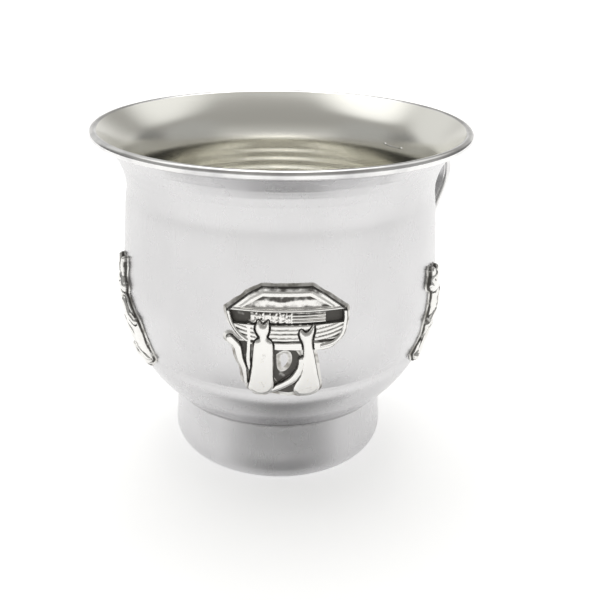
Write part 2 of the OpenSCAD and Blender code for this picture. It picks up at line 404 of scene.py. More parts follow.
class Paint(Tree):
    """Builds one material's nodes around a Principled shader."""

    def __init__(self, name: str) -> None:
        """Starts an empty material of that name."""
        self.material = bpy.data.materials.new(name)
        self.material.use_nodes = True
        super().__init__(self.material.node_tree)
        self.shader = self.node("ShaderNodeBsdfPrincipled", {}, {})
        self.node("ShaderNodeOutputMaterial", {}, {"Surface": self.shader["BSDF"]})
        self.place = self.node("ShaderNodeTexCoord", {}, {})["Object"]

    def set(self, **values: Any) -> None:
        """Sets the shader's sockets, named with underscores for spaces, to constants or Values."""
        for key, value in values.items():
            socket = self.shader.node.inputs[key.replace("_", " ")]
            if isinstance(value, Value):
                self.tree.links.new(value.socket, socket)
            else:
                socket.default_value = value

    def stretched(self, scale: tuple[float, float, float], angles: tuple[float, float, float] = (0, 0, 0)) -> Value:
        """Object coordinates turned by the angles in degrees and scaled along each axis."""
        turned = tuple(math.radians(a) for a in angles)
        return self.node("ShaderNodeMapping", {}, {"Vector": self.place, "Rotation": turned, "Scale": scale})["Vector"]

    def noise(self, vector: Value, scale: float, detail: float = 3.0, distortion: float = 0.0) -> Value:
        """Smooth noise in 0..1 at a number of features per metre."""
        made = self.node("ShaderNodeTexNoise", {}, {
            "Vector": vector, "Scale": scale, "Detail": detail, "Distortion": distortion})
        return made["Fac"]

    def mark(self, name: str) -> Value:
        """A number stored on the vertices."""
        return self.node("ShaderNodeAttribute", {"attribute_name": name}, {})["Fac"]

    def bump(self, height: Value, distance: float, strength: float = 1.0) -> Value:
        """A normal from a height in 0..1 that stands for a distance in metres."""
        made = self.node("ShaderNodeBump", {}, {"Height": height, "Distance": distance, "Strength": strength})
        return made["Normal"]


Colour = tuple[float, float, float, float]


@dataclass(frozen=True)
class Finish:
    """A way that the silver is finished."""

    name: str = "silver"
    light: Colour = (0.67, 0.665, 0.675, 1)
    shade: Colour = (0.62, 0.615, 0.625, 1)

    def material(self) -> bpy.types.Material:
        """The material, made once and shared after that."""
        known = bpy.data.materials.get(self.name)
        return known if known else self.paint().material

    def paint(self) -> Paint:
        """Builds the material's nodes."""
        raise NotImplementedError


@dataclass(frozen=True)
class PolishedSilver(Finish):
    """Buffed sheet: soft cloudy tone, fine wiping scratches in three directions, a few pits, an inside painted lighter
    and warmer than the outside as painted light inside the bowl, and painted shade in its joints.
    """

    name: str = "buffed_sheet"
    # painted light: the inside is given a lighter, warmer colour than the outside of the same sheet
    inner: Colour = (0.93, 0.92, 0.87, 1)
    # painted shade: the dark colour laid in the joints under the rim wire and above the foot
    joint_shade_colour: Colour = (0.16, 0.15, 0.14, 1)
    roughness: float = 0.27
    inner_roughness: float = 0.13
    flare_roughness: float = 0.22

    def scratches(self, paint: Paint) -> Value:
        """Thin streaks: the crests of noise stretched forty times along one direction, for three directions."""
        total: Any = 0.0
        for angles in ((10, 20, 0), (65, -15, 40), (-40, 30, 80)):
            streak = paint.noise(paint.stretched((2600, 2600, 60), angles), 1.0, detail=1.0)
            patch = paint.noise(paint.stretched((1, 1, 1), angles), 160.0, detail=1.0).ramp(0.45, 0.7)
            total = streak.ramp(0.66, 0.74) * patch + total
        return total

    def paint(self) -> Paint:
        """Builds the material's nodes."""
        paint = Paint(self.name)
        cloud = paint.noise(paint.place, 55.0, detail=2.0)
        inside = paint.mark("inside")
        scratch = self.scratches(paint)
        pits = paint.node("ShaderNodeTexVoronoi", {"feature": "F1"}, {"Vector": paint.place, "Scale": 420.0})["Distance"]
        speck = (1 - pits.ramp(0.05, 0.11)) * paint.noise(paint.place, 90.0, detail=0.0).ramp(0.62, 0.75)
        outer = paint.mix(cloud.ramp(0.3, 0.7), self.light, self.shade)
        # painted light: faces marked as inside take the lighter, warmer colour
        colour = paint.mix(inside, outer, self.inner)
        colour = paint.mix(speck * 0.4 + scratch * 0.02, colour, (0.42, 0.40, 0.37, 1))
        # painted shade: the joints under the rim wire and above the foot are darkened
        colour = paint.mix(paint.mark("joint_shade") * 0.9, colour, self.joint_shade_colour)
        height = paint.node("ShaderNodeSeparateXYZ", {}, {"Vector": paint.place})["Z"]
        smoother = height.ramp(50 * MM, 66 * MM) * (self.flare_roughness - self.inner_roughness)
        rough = paint.noise(paint.place, 130.0) * 0.06 + scratch * 0.03 + (self.roughness - 0.03)
        paint.set(Base_Color=colour, Metallic=1.0,
                  Roughness=rough + inside * (smoother + (self.inner_roughness - self.roughness)),
                  Normal=paint.bump(scratch * -0.2 + speck * -1.0, 1.5e-6))
        return paint


@dataclass(frozen=True)
class DrawnWire(Finish):
    """Round wire: brighter than the sheet, with long faint draw lines and small dents."""

    name: str = "drawn_wire"
    light: Colour = (0.86, 0.855, 0.85, 1)
    roughness: float = 0.16

    def paint(self) -> Paint:
        """Builds the material's nodes."""
        paint = Paint(self.name)
        dents = paint.noise(paint.place, 700.0, detail=2.0)
        wear = paint.noise(paint.place, 150.0, detail=3.0)
        paint.set(Base_Color=paint.mix(wear.ramp(0.35, 0.75), self.light, self.shade), Metallic=1.0,
                  Roughness=wear * 0.1 + (self.roughness - 0.05), Normal=paint.bump(dents, 1.5e-5))
        return paint


@dataclass(frozen=True)
class SilverSolder(Finish):
    """Solder drawn along a joint: greyer, satin, a little lumpy and speckled."""

    name: str = "joint_solder"
    light: Colour = (0.74, 0.73, 0.71, 1)
    shade: Colour = (0.30, 0.285, 0.26, 1)
    roughness: float = 0.34

    def paint(self) -> Paint:
        """Builds the material's nodes."""
        paint = Paint(self.name)
        lumps = paint.noise(paint.place, 900.0, detail=3.0)
        stain = paint.noise(paint.place, 380.0, detail=4.0)
        paint.set(Base_Color=paint.mix(stain.ramp(0.42, 0.66), self.light, self.shade), Metallic=1.0,
                  Roughness=stain * 0.16 + (self.roughness - 0.08), Normal=paint.bump(lumps, 4e-5))
        return paint


@dataclass(frozen=True)
class OxidisedCasting(Finish):
    """Cast silver, blackened and then polished: bright on its high points and dark where the polish didn't reach."""

    name: str = "blackened_casting"
    light: Colour = (0.82, 0.81, 0.79, 1)
    shade: Colour = (0.085, 0.08, 0.073, 1)
    roughness: float = 0.2

    def paint(self) -> Paint:
        """Builds the material's nodes."""
        paint = Paint(self.name)
        grain = paint.noise(paint.place, 1500.0, detail=3.0)
        patches = paint.noise(paint.place, 700.0, detail=3.0)
        depth = paint.mark("patina")
        dark = (depth + (patches - 0.5) * (depth * 1.7 + 0.1) + (grain - 0.5) * 0.3).ramp(0.3, 0.85)
        paint.set(Base_Color=paint.mix(dark, self.light, self.shade), Metallic=1.0 - dark * 0.55,
                  Roughness=dark * 0.3 + grain * 0.08 + (self.roughness - 0.04),
                  Normal=paint.bump(grain, 2.5e-5))
        return paint


@dataclass(frozen=True)
class PaleFloor(Finish):
    """The plain floor that the cup stands on, lit a little from below."""

    name: str = "pale_floor"
    light: Colour = (0.93, 0.93, 0.93, 1)
    glow: float = 0.5

    def paint(self) -> Paint:
        """Builds the material's nodes."""
        paint = Paint(self.name)
        paint.set(Base_Color=self.light, Roughness=0.9, Specular_IOR_Level=0.0,
                  Emission_Color=self.light, Emission_Strength=self.glow)
        return paint


@dataclass(frozen=True)
class PaintedShadowCard(Finish):
    """A dark card, a painted shadow of the cup on the floor for the silver to mirror, whose edge fades away: clear at
    an oval of the given half sizes, darkest at its middle.
    """

    name: str = "painted_shadow_card"
    shade: Colour = (0.0, 0.0, 0.0, 1)
    middle: tuple[float, float, float] = (0, 0, 0)
    half: tuple[float, float] = (1, 1)
    strength: float = 0.68

    def paint(self) -> Paint:
        """Builds the material's nodes."""
        paint = Paint(self.name)
        away = paint.node("ShaderNodeMapping", {"vector_type": "TEXTURE"}, {
            "Vector": paint.place, "Location": self.middle, "Scale": (*self.half, 1)})["Vector"]
        reach = paint.node("ShaderNodeVectorMath", {"operation": "LENGTH"}, {0: away})["Value"]
        paint.set(Base_Color=self.shade, Roughness=1.0, Specular_IOR_Level=0.0,
                  Alpha=(1 - reach.ramp(0.0, 1.0)) * self.strength)
        return paint


# ---------------------------------------------------------------- the cup's own shape

@dataclass
class CupShape:
    """The driving sizes of the cup, read from the frame, and the profiles that follow from them."""

    rim_r: float = float(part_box("rim_wire")[1][0])
    height: float = float(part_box("rim_wire")[1][2])
    wire_r: float = float(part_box("rim_wire")[1][2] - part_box("rim_wire")[0][2]) / 2
    foot_r: float = float(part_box("foot_ring")[1][0])
    foot_h: float = 15.2 * MM
    rest_r: float = 20.25 * MM
    belly_r: float = 35.0 * MM
    neck_r: float = 33.1 * MM
    crease_r: float = 32.7 * MM
    crease_z: float = 28.2 * MM
    sheet: float = 0.9 * MM

    def outside(self) -> Array:
        """The bowl's outside: dished floor, rounded bottom, a bead under the crease, then belly, neck and flare."""
        joint = self.foot_r + 0.4 * MM
        floor = [(0, self.foot_h - 3 * MM), (joint * 0.55, self.foot_h - 2.6 * MM),
                 (joint - 0.4 * MM, self.foot_h - 0.6 * MM)]
        bottom = [(joint, self.foot_h), (self.foot_r + 4.5 * MM, self.foot_h + 4.6 * MM),
                  (self.crease_r - 0.6 * MM, self.crease_z - 3.8 * MM),
                  (self.crease_r + 0.2 * MM, self.crease_z - 1.5 * MM), (self.crease_r, self.crease_z)]
        side = [(self.crease_r, self.crease_z), (self.belly_r - 0.8 * MM, self.crease_z + 5.2 * MM),
                (self.belly_r, self.crease_z + 12 * MM), (self.belly_r - 0.6 * MM, self.crease_z + 21 * MM),
                (self.neck_r + 0.5 * MM, self.height - 16 * MM), (self.neck_r, self.height - 12 * MM),
                (self.neck_r + 0.5 * MM, self.height - 8.9 * MM), (self.neck_r + 2 * MM, self.height - 5.2 * MM),
                (self.rim_r - self.wire_r, self.height - self.wire_r)]
        return np.vstack([spline(floor, 10), eased(spline(bottom, 9), 6), eased(spline(side, 14), 24)[1:]])

    def radius_at(self, z: Array) -> Array:
        """The bowl's outer radius at a height between the foot and the lip."""
        side = self.outside()
        side = side[side[:, 1] > self.foot_h]
        return np.interp(z, side[:, 1], side[:, 0])


SHAPE = CupShape()


@dataclass
class Bowl:
    """The spun bowl with its flared lip: one closed shell of sheet."""

    segments: int = 288
    ring_pitch: float = 2.3 * MM
    ring_depth: float = 0.05 * MM
    turning_lines: tuple[float, ...] = (66.4 * MM, 68.2 * MM, 70.0 * MM)
    line_depth: float = 0.05 * MM
    # painted shade: heights and widths of the dark bands painted in the joints under the rim wire and above the foot
    shaded_joints: tuple[tuple[float, float], ...] = ((72.75 * MM, 0.16), (15.6 * MM, 0.3))

    def inside(self, outer: Array) -> Array:
        """The inner skin: the outer one moved in by the sheet, with the shallow rings that spinning leaves."""
        inner = beside(outer, SHAPE.sheet * (1 + 0.04 * smooth_step(70 * MM, 73 * MM, outer[:, 1])))
        rings = np.sin(2 * np.pi * inner[:, 1] / self.ring_pitch)
        fade = 1 - smooth_step(54 * MM, 66 * MM, inner[:, 1])
        inner[:, 0] += self.ring_depth * rings * fade * smooth_step(4 * MM, 10 * MM, inner[:, 0])
        inner[:, 0] = np.maximum(inner[:, 0], 0)
        return inner

    def outer_lift(self, azimuth: Array, height: Array) -> Array:
        """Hand finishing: long, low waves in the skin, a few hundredths of a millimetre deep."""
        wave = dents(azimuth, height, SHAPE.belly_r, 26 * MM, 3) * 0.03 * MM
        return wave * np.sin(np.clip((height - SHAPE.foot_h) / (SHAPE.height - SHAPE.foot_h), 0, 1) * np.pi)

    def build(self) -> bpy.types.Object:
        """Makes the bowl, marks which vertices face the drink, and marks the painted shade in the joints under the rim
        wire and above the foot.
        """
        outer = SHAPE.outside()
        inner = self.inside(outer)
        lines = sum(np.exp(-((outer[:, 1] - z) / (0.25 * MM)) ** 2) for z in self.turning_lines)
        outer = beside(outer, self.line_depth * lines)
        outer[0, 0] = 0
        inner[0, 0] = 0
        profile = np.vstack([outer, inner[::-1]])
        surface = lathe(profile, self.segments, self.outer_lift)
        ring_inside = np.repeat((np.arange(len(profile) - 2) >= len(outer) - 1).astype(float), self.segments)
        surface.marks["inside"] = np.concatenate([ring_inside, [0.0, 1.0]])
        # painted shade in the joints, on the outside of the bowl only
        joints = sum(np.exp(-((profile[1:-1, 1] - z) / (width * MM)) ** 2) for z, width in self.shaded_joints)
        joint_shade = np.repeat(joints, self.segments) * (1 - ring_inside)
        surface.marks["joint_shade"] = np.concatenate([joint_shade, [0.0, 0.0]])
        return surface.build("bowl_shell", PolishedSilver(), "bowl", "polished_silver")


@dataclass
class RimWire:
    """The round wire that stiffens the lip."""

    segments: int = 320
    around: int = 28

    def build(self) -> bpy.types.Object:
        """Makes the wire: a circle turned about the cup's axis, with faint dents."""
        a = np.linspace(0, 2 * np.pi, self.around, endpoint=False)
        centre = np.array([SHAPE.rim_r - SHAPE.wire_r, SHAPE.height - SHAPE.wire_r])
        profile = centre + SHAPE.wire_r * np.column_stack([np.cos(a), np.sin(a)])
        surface = lathe(profile, self.segments, lambda az, z: dents(az, z, SHAPE.rim_r, 9 * MM, 5) * 0.02 * MM)
        return surface.build("lip_wire", DrawnWire(), "rim_wire", "silver_wire")


@dataclass
class Foot:
    """The foot ring, spun from the same sheet and rolled in below, and the solder that holds it."""

    segments: int = 288
    roll: float = 3.4 * MM
    solder: float = 1.1 * MM

    def outline(self) -> Array:
        """The ring's outside: a quarter-round from the resting plane, then a slight waist up to the bowl."""
        a = np.radians(np.linspace(-90, 0, 16))
        centre = np.array([SHAPE.foot_r - self.roll, self.roll])
        edge = centre + self.roll * np.column_stack([np.cos(a), np.sin(a)])
        wall = [(SHAPE.foot_r, self.roll), (SHAPE.foot_r - 0.1 * MM, self.roll + 1.6 * MM),
                (SHAPE.foot_r - 0.4 * MM, SHAPE.foot_h * 0.55), (SHAPE.foot_r - 0.4 * MM, SHAPE.foot_h * 0.78),
                (SHAPE.foot_r - 0.1 * MM, SHAPE.foot_h + 0.1 * MM)]
        return eased(np.vstack([edge, spline(wall, 8)[1:]]), 6)

    def build_ring(self) -> bpy.types.Object:
        """Makes the ring as a closed loop of sheet turned about the axis."""
        outer = self.outline()
        rest = np.array([[SHAPE.rest_r, 0]])
        skin = np.vstack([rest, outer])
        profile = np.vstack([skin, beside(outer, SHAPE.sheet)[::-1], rest + [0, SHAPE.sheet]])
        surface = lathe(profile, self.segments, lambda az, z: dents(az, z, SHAPE.foot_r, 20 * MM, 8) * 0.02 * MM)
        surface.marks["inside"] = np.zeros(len(surface.points))
        return surface.build("foot_collar", PolishedSilver(), "foot_ring", "polished_silver")

    def build_solder(self) -> bpy.types.Object:
        """Makes the fillet: a hollow quarter-round in the corner, whose width wanders as it goes round."""
        corner = np.array([SHAPE.foot_r - 0.3 * MM, SHAPE.foot_h - 0.1 * MM])
        low, high = corner + [0.05 * MM, -self.solder * 0.75], corner + [self.solder, self.solder * 0.98]
        t = np.linspace(0, 1, 9)[:, None]
        bow = low * (1 - t) ** 2 + (corner + [0.42 * MM, 0.05 * MM]) * 2 * t * (1 - t) + high * t**2
        back = np.array([high + [-0.25 * MM, 0.3 * MM], corner + [-0.3 * MM, 0.4 * MM], low + [-0.3 * MM, 0.1 * MM]])
        surface = lathe(np.vstack([bow, back]), self.segments,
                        lambda az, z: dents(az, 3 * z, SHAPE.foot_r, 5 * MM, 11) * 0.06 * MM)
        return surface.build("foot_solder_fillet", SilverSolder(), "foot_solder", "silver_solder")


@dataclass
class Handle:
    """The strap handle: a flat band between two round edge wires, soldered on at the neck and the rounded bottom."""

    azimuth: float = 122.5
    reach: float = 49.2 * MM
    width: float = 7.2 * MM
    strap: float = 1.2 * MM
    wire: float = 1.5 * MM

    def line(self) -> Array:
        """The middle line as distance from the axis and height."""
        top, low = SHAPE.height, SHAPE.crease_z
        return spline([
            (SHAPE.neck_r - 0.5 * MM, top - 9.9 * MM), (SHAPE.neck_r + 6 * MM, top - 7.6 * MM),
            (self.reach - 5 * MM, top - 9.2 * MM), (self.reach - 1.2 * MM, top - 13.4 * MM),
            (self.reach - self.strap / 2, top - 18.6 * MM), (self.reach - 3.6 * MM, low + 21 * MM),
            (self.reach - 9 * MM, low + 9 * MM), (SHAPE.crease_r + 3.4 * MM, low + 2.6 * MM),
            (SHAPE.crease_r - 0.4 * MM, low + 1.8 * MM)], 14)

    def path(self) -> Array:
        """The middle line in space, and at the handle's azimuth."""
        line = self.line()
        return turn(np.column_stack([0 * line[:, 0], -line[:, 0], line[:, 1]]), self.azimuth)

    def across(self) -> Array:
        """The direction across the strap."""
        return turn(np.array([[1.0, 0, 0]]), self.azimuth)[0]

    def band_section(self, count: int) -> Array:
        """A rounded flat bar, hollowed slightly along the middle of both faces."""
        a = np.linspace(0, 2 * np.pi, 40, endpoint=False)
        half = self.width / 2 - self.wire * 0.6
        s = half * np.sign(np.cos(a)) * np.abs(np.cos(a)) ** 0.35
        t = self.strap / 2 * np.sign(np.sin(a)) * np.abs(np.sin(a)) ** 0.5
        t *= 0.82 + 0.18 * (s / half) ** 2
        return np.broadcast_to(np.column_stack([s, t]), (count, 40, 2))

    def wire_section(self, count: int, side: int) -> Array:
        """A circle centred on one edge of the band, dented a little along its length."""
        a = np.linspace(0, 2 * np.pi, 24, endpoint=False)
        along = np.linspace(0, 60 * MM, count)[:, None]
        radius = self.wire / 2 * (1 + 0.03 * ripple(along, 0 * along, 7 * MM, 20 + side))
        s = side * (self.width - self.wire) / 2 + radius * np.cos(a)
        return np.stack([s, radius * 1.08 * np.sin(a)], axis=-1)

    def build(self) -> None:
        """Makes the band, both edge wires and the two solder pads."""
        path, across = self.path(), self.across()
        band = sweep(path, across, self.band_section(len(path)))
        band.marks["inside"] = np.zeros(len(band.points))
        band.build("handle_band", PolishedSilver(), "handle_strap", "polished_silver")
        for side, name in ((-1, "near"), (1, "far")):
            wire = sweep(path, across, self.wire_section(len(path), side))
            wire.build("handle_edge_" + name, DrawnWire(), "handle_wire_" + name, "silver_wire")
        line = self.line()
        for (_, z), name in ((line[3], "upper"), (line[-4], "lower")):
            pad = HandleSolder(azimuth=self.azimuth, centre=float(z), half_width=self.width / 2)
            pad.build("handle_pad_" + name, "handle_solder_" + name)


# ---------------------------------------------------------------- reliefs on the belly

@dataclass
class Relief:
    """Something that lies on the belly: a field of heights over a grid of (sideways u, height v), in millimetres.

    A point (u, v) with relief h stands at x = u, z = v and the radius of the belly plus h, turned to the azimuth.
    """

    azimuth: float = 0.0
    low: tuple[float, float] = (-13.0, 25.0)
    high: tuple[float, float] = (13.0, 54.0)
    pitch: float = 0.1
    root: float = -0.12

    def outline(self, u: Array, v: Array) -> Array:
        """The signed distance to the outline."""
        raise NotImplementedError

    def height(self, u: Array, v: Array, d: Array) -> Array:
        """The relief at each point, given the distance to the outline."""
        raise NotImplementedError

    def marks(self, u: Array, v: Array, d: Array, h: Array) -> dict[str, Array]:
        """Numbers to store on the vertices."""
        return {}

    def place(self, u: Array, v: Array, h: Array) -> Array:
        """Points on the belly at the relief h."""
        r = SHAPE.radius_at(v * MM) + h * MM
        x = u * MM
        return turn(np.column_stack([x, -np.sqrt(r**2 - x**2), v * MM]), self.azimuth)

    def kept_cells(self, d: Array) -> Array:
        """The grid cells inside the outline, with cells that would meet at a corner only filled in."""
        kept = (d[:-1, :-1] + d[1:, :-1] + d[:-1, 1:] + d[1:, 1:]) < 0
        for _ in range(3):
            a, b, c, e = kept[:-1, :-1], kept[1:, 1:], kept[1:, :-1], kept[:-1, 1:]
            corner = (a & b & ~c & ~e) | (c & e & ~a & ~b)
            for rows in (slice(None, -1), slice(1, None)):
                for columns in (slice(None, -1), slice(1, None)):
                    kept[rows, columns] |= corner
        return kept

    def surface(self) -> Surface:
        """The closed skin: the top over every kept cell, a back under it, and walls round the outline."""
        us = np.arange(self.low[0], self.high[0], self.pitch)
        vs = np.arange(self.low[1], self.high[1], self.pitch)
        u, v = np.meshgrid(us, vs, indexing="ij")
        d = self.outline(u, v)
        kept = self.kept_cells(d)
        framed = np.pad(kept, 1)
        touching = np.stack([framed[:-1, :-1], framed[1:, :-1], framed[:-1, 1:], framed[1:, 1:]])
        used, edge = touching.any(axis=0), touching.any(axis=0) & ~touching.all(axis=0)
        gu, gv = np.gradient(d, self.pitch)
        scale = np.where(edge, -d / np.maximum(gu**2 + gv**2, 0.25), 0)
        shift = np.clip(scale, -self.pitch, self.pitch)
        u, v = u + shift * gu, v + shift * gv
        d = np.where(edge, 0.0, self.outline(u, v))
        h = self.height(u, v, d)
        number = np.cumsum(used.ravel()).reshape(used.shape) - 1
        count = int(used.sum())
        top = self.place(u[used], v[used], h[used])
        back = self.place(u[used], v[used], np.full(count, self.root))
        i, j = np.nonzero(kept)
        cell = np.column_stack([number[i, j], number[i + 1, j], number[i + 1, j + 1], number[i, j + 1]])
        walls = []
        for axis in (0, 1):
            lined = np.pad(kept, [(0, 0), (1, 1)] if axis == 0 else [(1, 1), (0, 0)])
            step = np.diff(lined.astype(int), axis=1 - axis)
            for sign in (1, -1):
                p, q = np.nonzero(step == sign)
                a = number[p, q]
                b = number[p + 1, q] if axis == 0 else number[p, q + 1]
                if (sign == 1) != (axis == 0):
                    a, b = b, a
                walls.append(np.column_stack([b, a, a + count, b + count]))
        quads = np.vstack([cell, cell[:, ::-1] + count] + walls)
        marks = {k: np.concatenate([m[used], m[used]]) for k, m in self.marks(u, v, d, h).items()}
        return Surface(np.vstack([top, back]), quads, marks=marks)


@dataclass
class Casting(Relief):
    """A cast ornament, blackened in its recesses."""

    name: str = "casting"
    stands_for: str = "casting"
    edge: float = 0.5
    wall: float = 0.9
    skirt: float = 0.6
    hollow_reach: int = 6
    hollow_depth: float = 0.16

    def marks(self, u: Array, v: Array, d: Array, h: Array) -> dict[str, Array]:
        """Patina: full in the hollows, which lie below the mean height around them, and down the outer walls."""
        hollow = (blurred(h, self.hollow_reach) - h) / self.hollow_depth
        low = 1 - smooth_step(0.45, 0.85, h)
        rim = 1 - smooth_step(0.0, 0.3, -d)
        return {"patina": np.clip(np.maximum.reduce([0.3 + 0.6 * hollow, low * self.wall, rim * self.wall]), 0, 1)}

    def build(self) -> None:
        """Makes the casting and the solder round it."""
        self.surface().build(self.name, OxidisedCasting(), self.stands_for + "_casting", "oxidised_cast_silver")
        solder = CastingSolder(azimuth=self.azimuth, around=self, width=self.skirt)
        solder.surface().build(self.name + "_solder", SilverSolder(), self.stands_for + "_solder", "silver_solder")


@dataclass
class CastingSolder(Relief):
    """The skirt of solder that fills the edge of a casting and thins out on the belly."""

    around: Optional[Casting] = None
    width: float = 0.6
    thick: float = 0.3
    root: float = -0.08

    def __post_init__(self) -> None:
        """Covers the same ground as the casting."""
        self.low, self.high, self.pitch = self.around.low, self.around.high, 0.14

    def outline(self, u: Array, v: Array) -> Array:
        """A band from just inside the casting's edge to a wandering distance outside it."""
        d = self.around.outline(u, v)
        reach = self.width * (1 + 0.45 * ripple(u, v, 4.0, 31))
        return np.maximum(d - reach, -0.25 - d)

    def height(self, u: Array, v: Array, d: Array) -> Array:
        """Highest against the casting and falling off as the square of what is left of the width."""
        out = np.clip(self.around.outline(u, v) / (self.width * 1.45), 0, 1)
        return self.thick * (1 - out) ** 2 - 0.03


@dataclass
class HandleSolder(Relief):
    """The pad of solder round one end of the handle."""

    centre: float = 0.0
    half_width: float = 3.6 * MM
    spread: float = 1.1
    pitch: float = 0.14
    root: float = -0.1

    def core(self, u: Array, v: Array) -> Array:
        """The distance to the end of the strap, a flat bar with round corners."""
        half = self.half_width / MM - 0.7
        du, dv = np.abs(u) - half, np.abs(v - self.centre / MM) - 0.5
        return np.hypot(np.maximum(du, 0), np.maximum(dv, 0)) - 0.7

    def outline(self, u: Array, v: Array) -> Array:
        """The pad's edge wanders round the strap's end."""
        return self.core(u, v) - self.spread * (1 + 0.3 * ripple(u, v, 5.0, 41))

    def height(self, u: Array, v: Array, d: Array) -> Array:
        """Rises towards the strap as a hollow fillet."""
        near = np.clip(1 - self.core(u, v) / self.spread, 0, 1)
        return 0.6 * near**2 - 0.02

    def build(self, name: str, stands_for: str) -> bpy.types.Object:
        """Makes the pad."""
        middle = self.centre / MM
        self.low, self.high = (-6.0, middle - 4), (6.0, middle + 4)
        return self.surface().build(name, SilverSolder(), stands_for, "silver_solder")


@dataclass
class ArkCasting(Casting):
    """The front ornament: an ark with a hipped roof, and two long-bodied cats standing before it, seen from behind."""

    name: str = "ark_relief"
    stands_for: str = "ark"
    eave: float = 47.3
    deck: float = 44.4
    keel: float = 40.9
    cabin: tuple = ((-6.9, 44.7), (7.3, 44.7), (7.3, 47.1), (-6.9, 47.1))
    roof_edge: tuple = ((-11.0, 47.0), (-7.3, 50.2), (-4.8, 51.7), (4.7, 51.7), (7.2, 50.0), (11.0, 47.0))
    roof_panel: tuple = ((-8.8, 47.7), (-4.6, 50.2), (4.2, 50.2), (8.8, 47.7))
    ring: tuple = ((-2.8, 39.4), (1.6, 39.4), (3.2, 37.0), (2.3, 33.8), (-1.6, 30.8), (-3.0, 33.0))
    gap: tuple = ((-1.7, 37.8), (-0.6, 38.5), (0.5, 38.2), (0.8, 36.8), (0.4, 35.2), (-0.6, 34.2), (-1.5, 34.8))
    left_ring: tuple = ((-9.6, 40.6), (-6.4, 41.0), (-6.4, 33.0), (-8.0, 34.2), (-8.8, 37.0))
    foot_ring: tuple = ((-3.0, 29.0), (3.0, 33.0), (3.4, 28.6), (0.6, 28.0), (-2.6, 28.6))
    left_cat: tuple = (
        (-6.0, 28.2), (-7.4, 29.4), (-7.2, 31.4), (-6.7, 35.4), (-6.5, 38.6), (-6.3, 40.4), (-5.9, 41.2),
        (-5.3, 41.8), (-5.9, 42.9), (-6.0, 43.9), (-5.4, 45.3), (-4.8, 44.6), (-4.2, 44.6), (-3.5, 45.3),
        (-3.3, 43.9), (-3.4, 42.9), (-3.7, 41.9), (-3.0, 41.2), (-2.6, 40.2), (-2.5, 37.0), (-2.4, 33.0),
        (-2.3, 30.6), (-2.9, 29.0), (-4.4, 28.1))
    right_cat: tuple = (
        (2.2, 28.0), (1.4, 29.4), (1.8, 31.2), (2.6, 33.4), (3.0, 36.4), (3.1, 39.0), (2.9, 40.6), (2.4, 41.7),
        (2.2, 42.7), (2.6, 43.5), (3.4, 43.0), (4.2, 43.3), (5.0, 44.4), (5.2, 43.0), (4.9, 41.6), (4.9, 40.0),
        (5.2, 38.4), (5.8, 35.4), (6.3, 32.6), (6.8, 30.2), (6.4, 28.7), (4.5, 27.8))

    def hull(self, u: Array, v: Array) -> Array:
        """The hull: straight below, swept up to a point at each end."""
        return Shape.outline(u, v, np.vstack([spline([
            (-11.4, 46.8), (-10.7, 44.3), (-9.3, 42.3), (-7.6, 40.7), (-4.0, 39.4), (2.0, 39.1), (7.2, 39.0),
            (9.5, 40.0), (10.9, 42.0), (11.4, 44.4), (11.4, 46.7)], 5), [[9.6, 46.9], [-9.6, 46.9]]]))

    def cats(self, u: Array, v: Array) -> Array:
        """Both cats: a broad base, a narrow neck, a small head and two ears each. The right one leans."""
        left, right = (Shape.outline(u, v, spline(c + c[:1], 3)[:-1]) for c in (self.left_cat, self.right_cat))
        return np.minimum(left, right)

    def tail(self, u: Array, v: Array) -> Array:
        """The right cat's tail, swept down to the left across the foot of the other."""
        line = spline([(3.2, 36.6), (2.9, 34.6), (1.7, 32.5), (-0.2, 30.9), (-2.4, 29.6), (-4.2, 28.9)], 5)
        return Shape.limb(u, v, line, np.linspace(0.95, 0.75, len(line)))

    def ribbon(self, u: Array, v: Array) -> Array:
        """The streamer at the left: a strip down the cat's side, and a curl from the hull's end."""
        strip = spline([(-7.2, 44.2), (-7.2, 40.0), (-7.3, 36.4), (-6.6, 33.4)], 5)
        curl = spline([(-10.7, 40.9), (-9.4, 39.4), (-8.9, 36.8), (-8.1, 34.4), (-7.8, 31.0)], 4)
        return np.minimum(Shape.limb(u, v, strip, np.full(len(strip), 0.45)),
                          Shape.limb(u, v, curl, np.linspace(0.85, 0.4, len(curl))))

    def ledges(self, u: Array, v: Array) -> Array:
        """The low ground that joins the cats: round the open gap, at the streamer and under the tail."""
        lows = (Shape.outline(u, v, line) for line in (self.ring, self.left_ring, self.foot_ring))
        hole = Shape.outline(u, v, spline(self.gap + self.gap[:1], 4)[:-1])
        return np.maximum(np.minimum.reduce(list(lows)), -hole)

    def outline(self, u: Array, v: Array) -> Array:
        """Everything together."""
        return Shape.join(self.hull(u, v), Shape.outline(u, v, self.roof_edge), self.cats(u, v), self.tail(u, v),
                          self.ribbon(u, v), self.ledges(u, v), round_by=0.3)

    def planks(self, u: Array, v: Array) -> Array:
        """Strakes that follow the hull's sheer: rounded ridges with sharp grooves, one to each 0.85 mm."""
        sheer = v - 0.03 * np.clip(np.abs(u) - 4, 0, None) ** 2 + 0.06 * ripple(u, v, 3.0, 52)
        return np.abs(np.sin(np.pi * (sheer - self.keel) / 0.85)) ** 0.35

    def siding(self, u: Array, v: Array) -> Array:
        """The cabin's wall: upright boards to the left of a post and level boards to the right of it."""
        upright = np.abs(np.sin(np.pi * (u + 0.08 * ripple(u, v, 2.0, 53) - 0.8) / 0.62)) ** 0.6
        level = np.abs(np.sin(np.pi * (v - 44.7) / 0.6)) ** 0.6
        rough = 0.8 + 0.18 * upright + 0.2 * ripple(u, v, 0.9, 55)
        panel = np.where(u < 0.8, rough, 0.78 + 0.34 * level)
        return np.where(np.abs(u - 0.8) < 0.16, 1.12, panel)

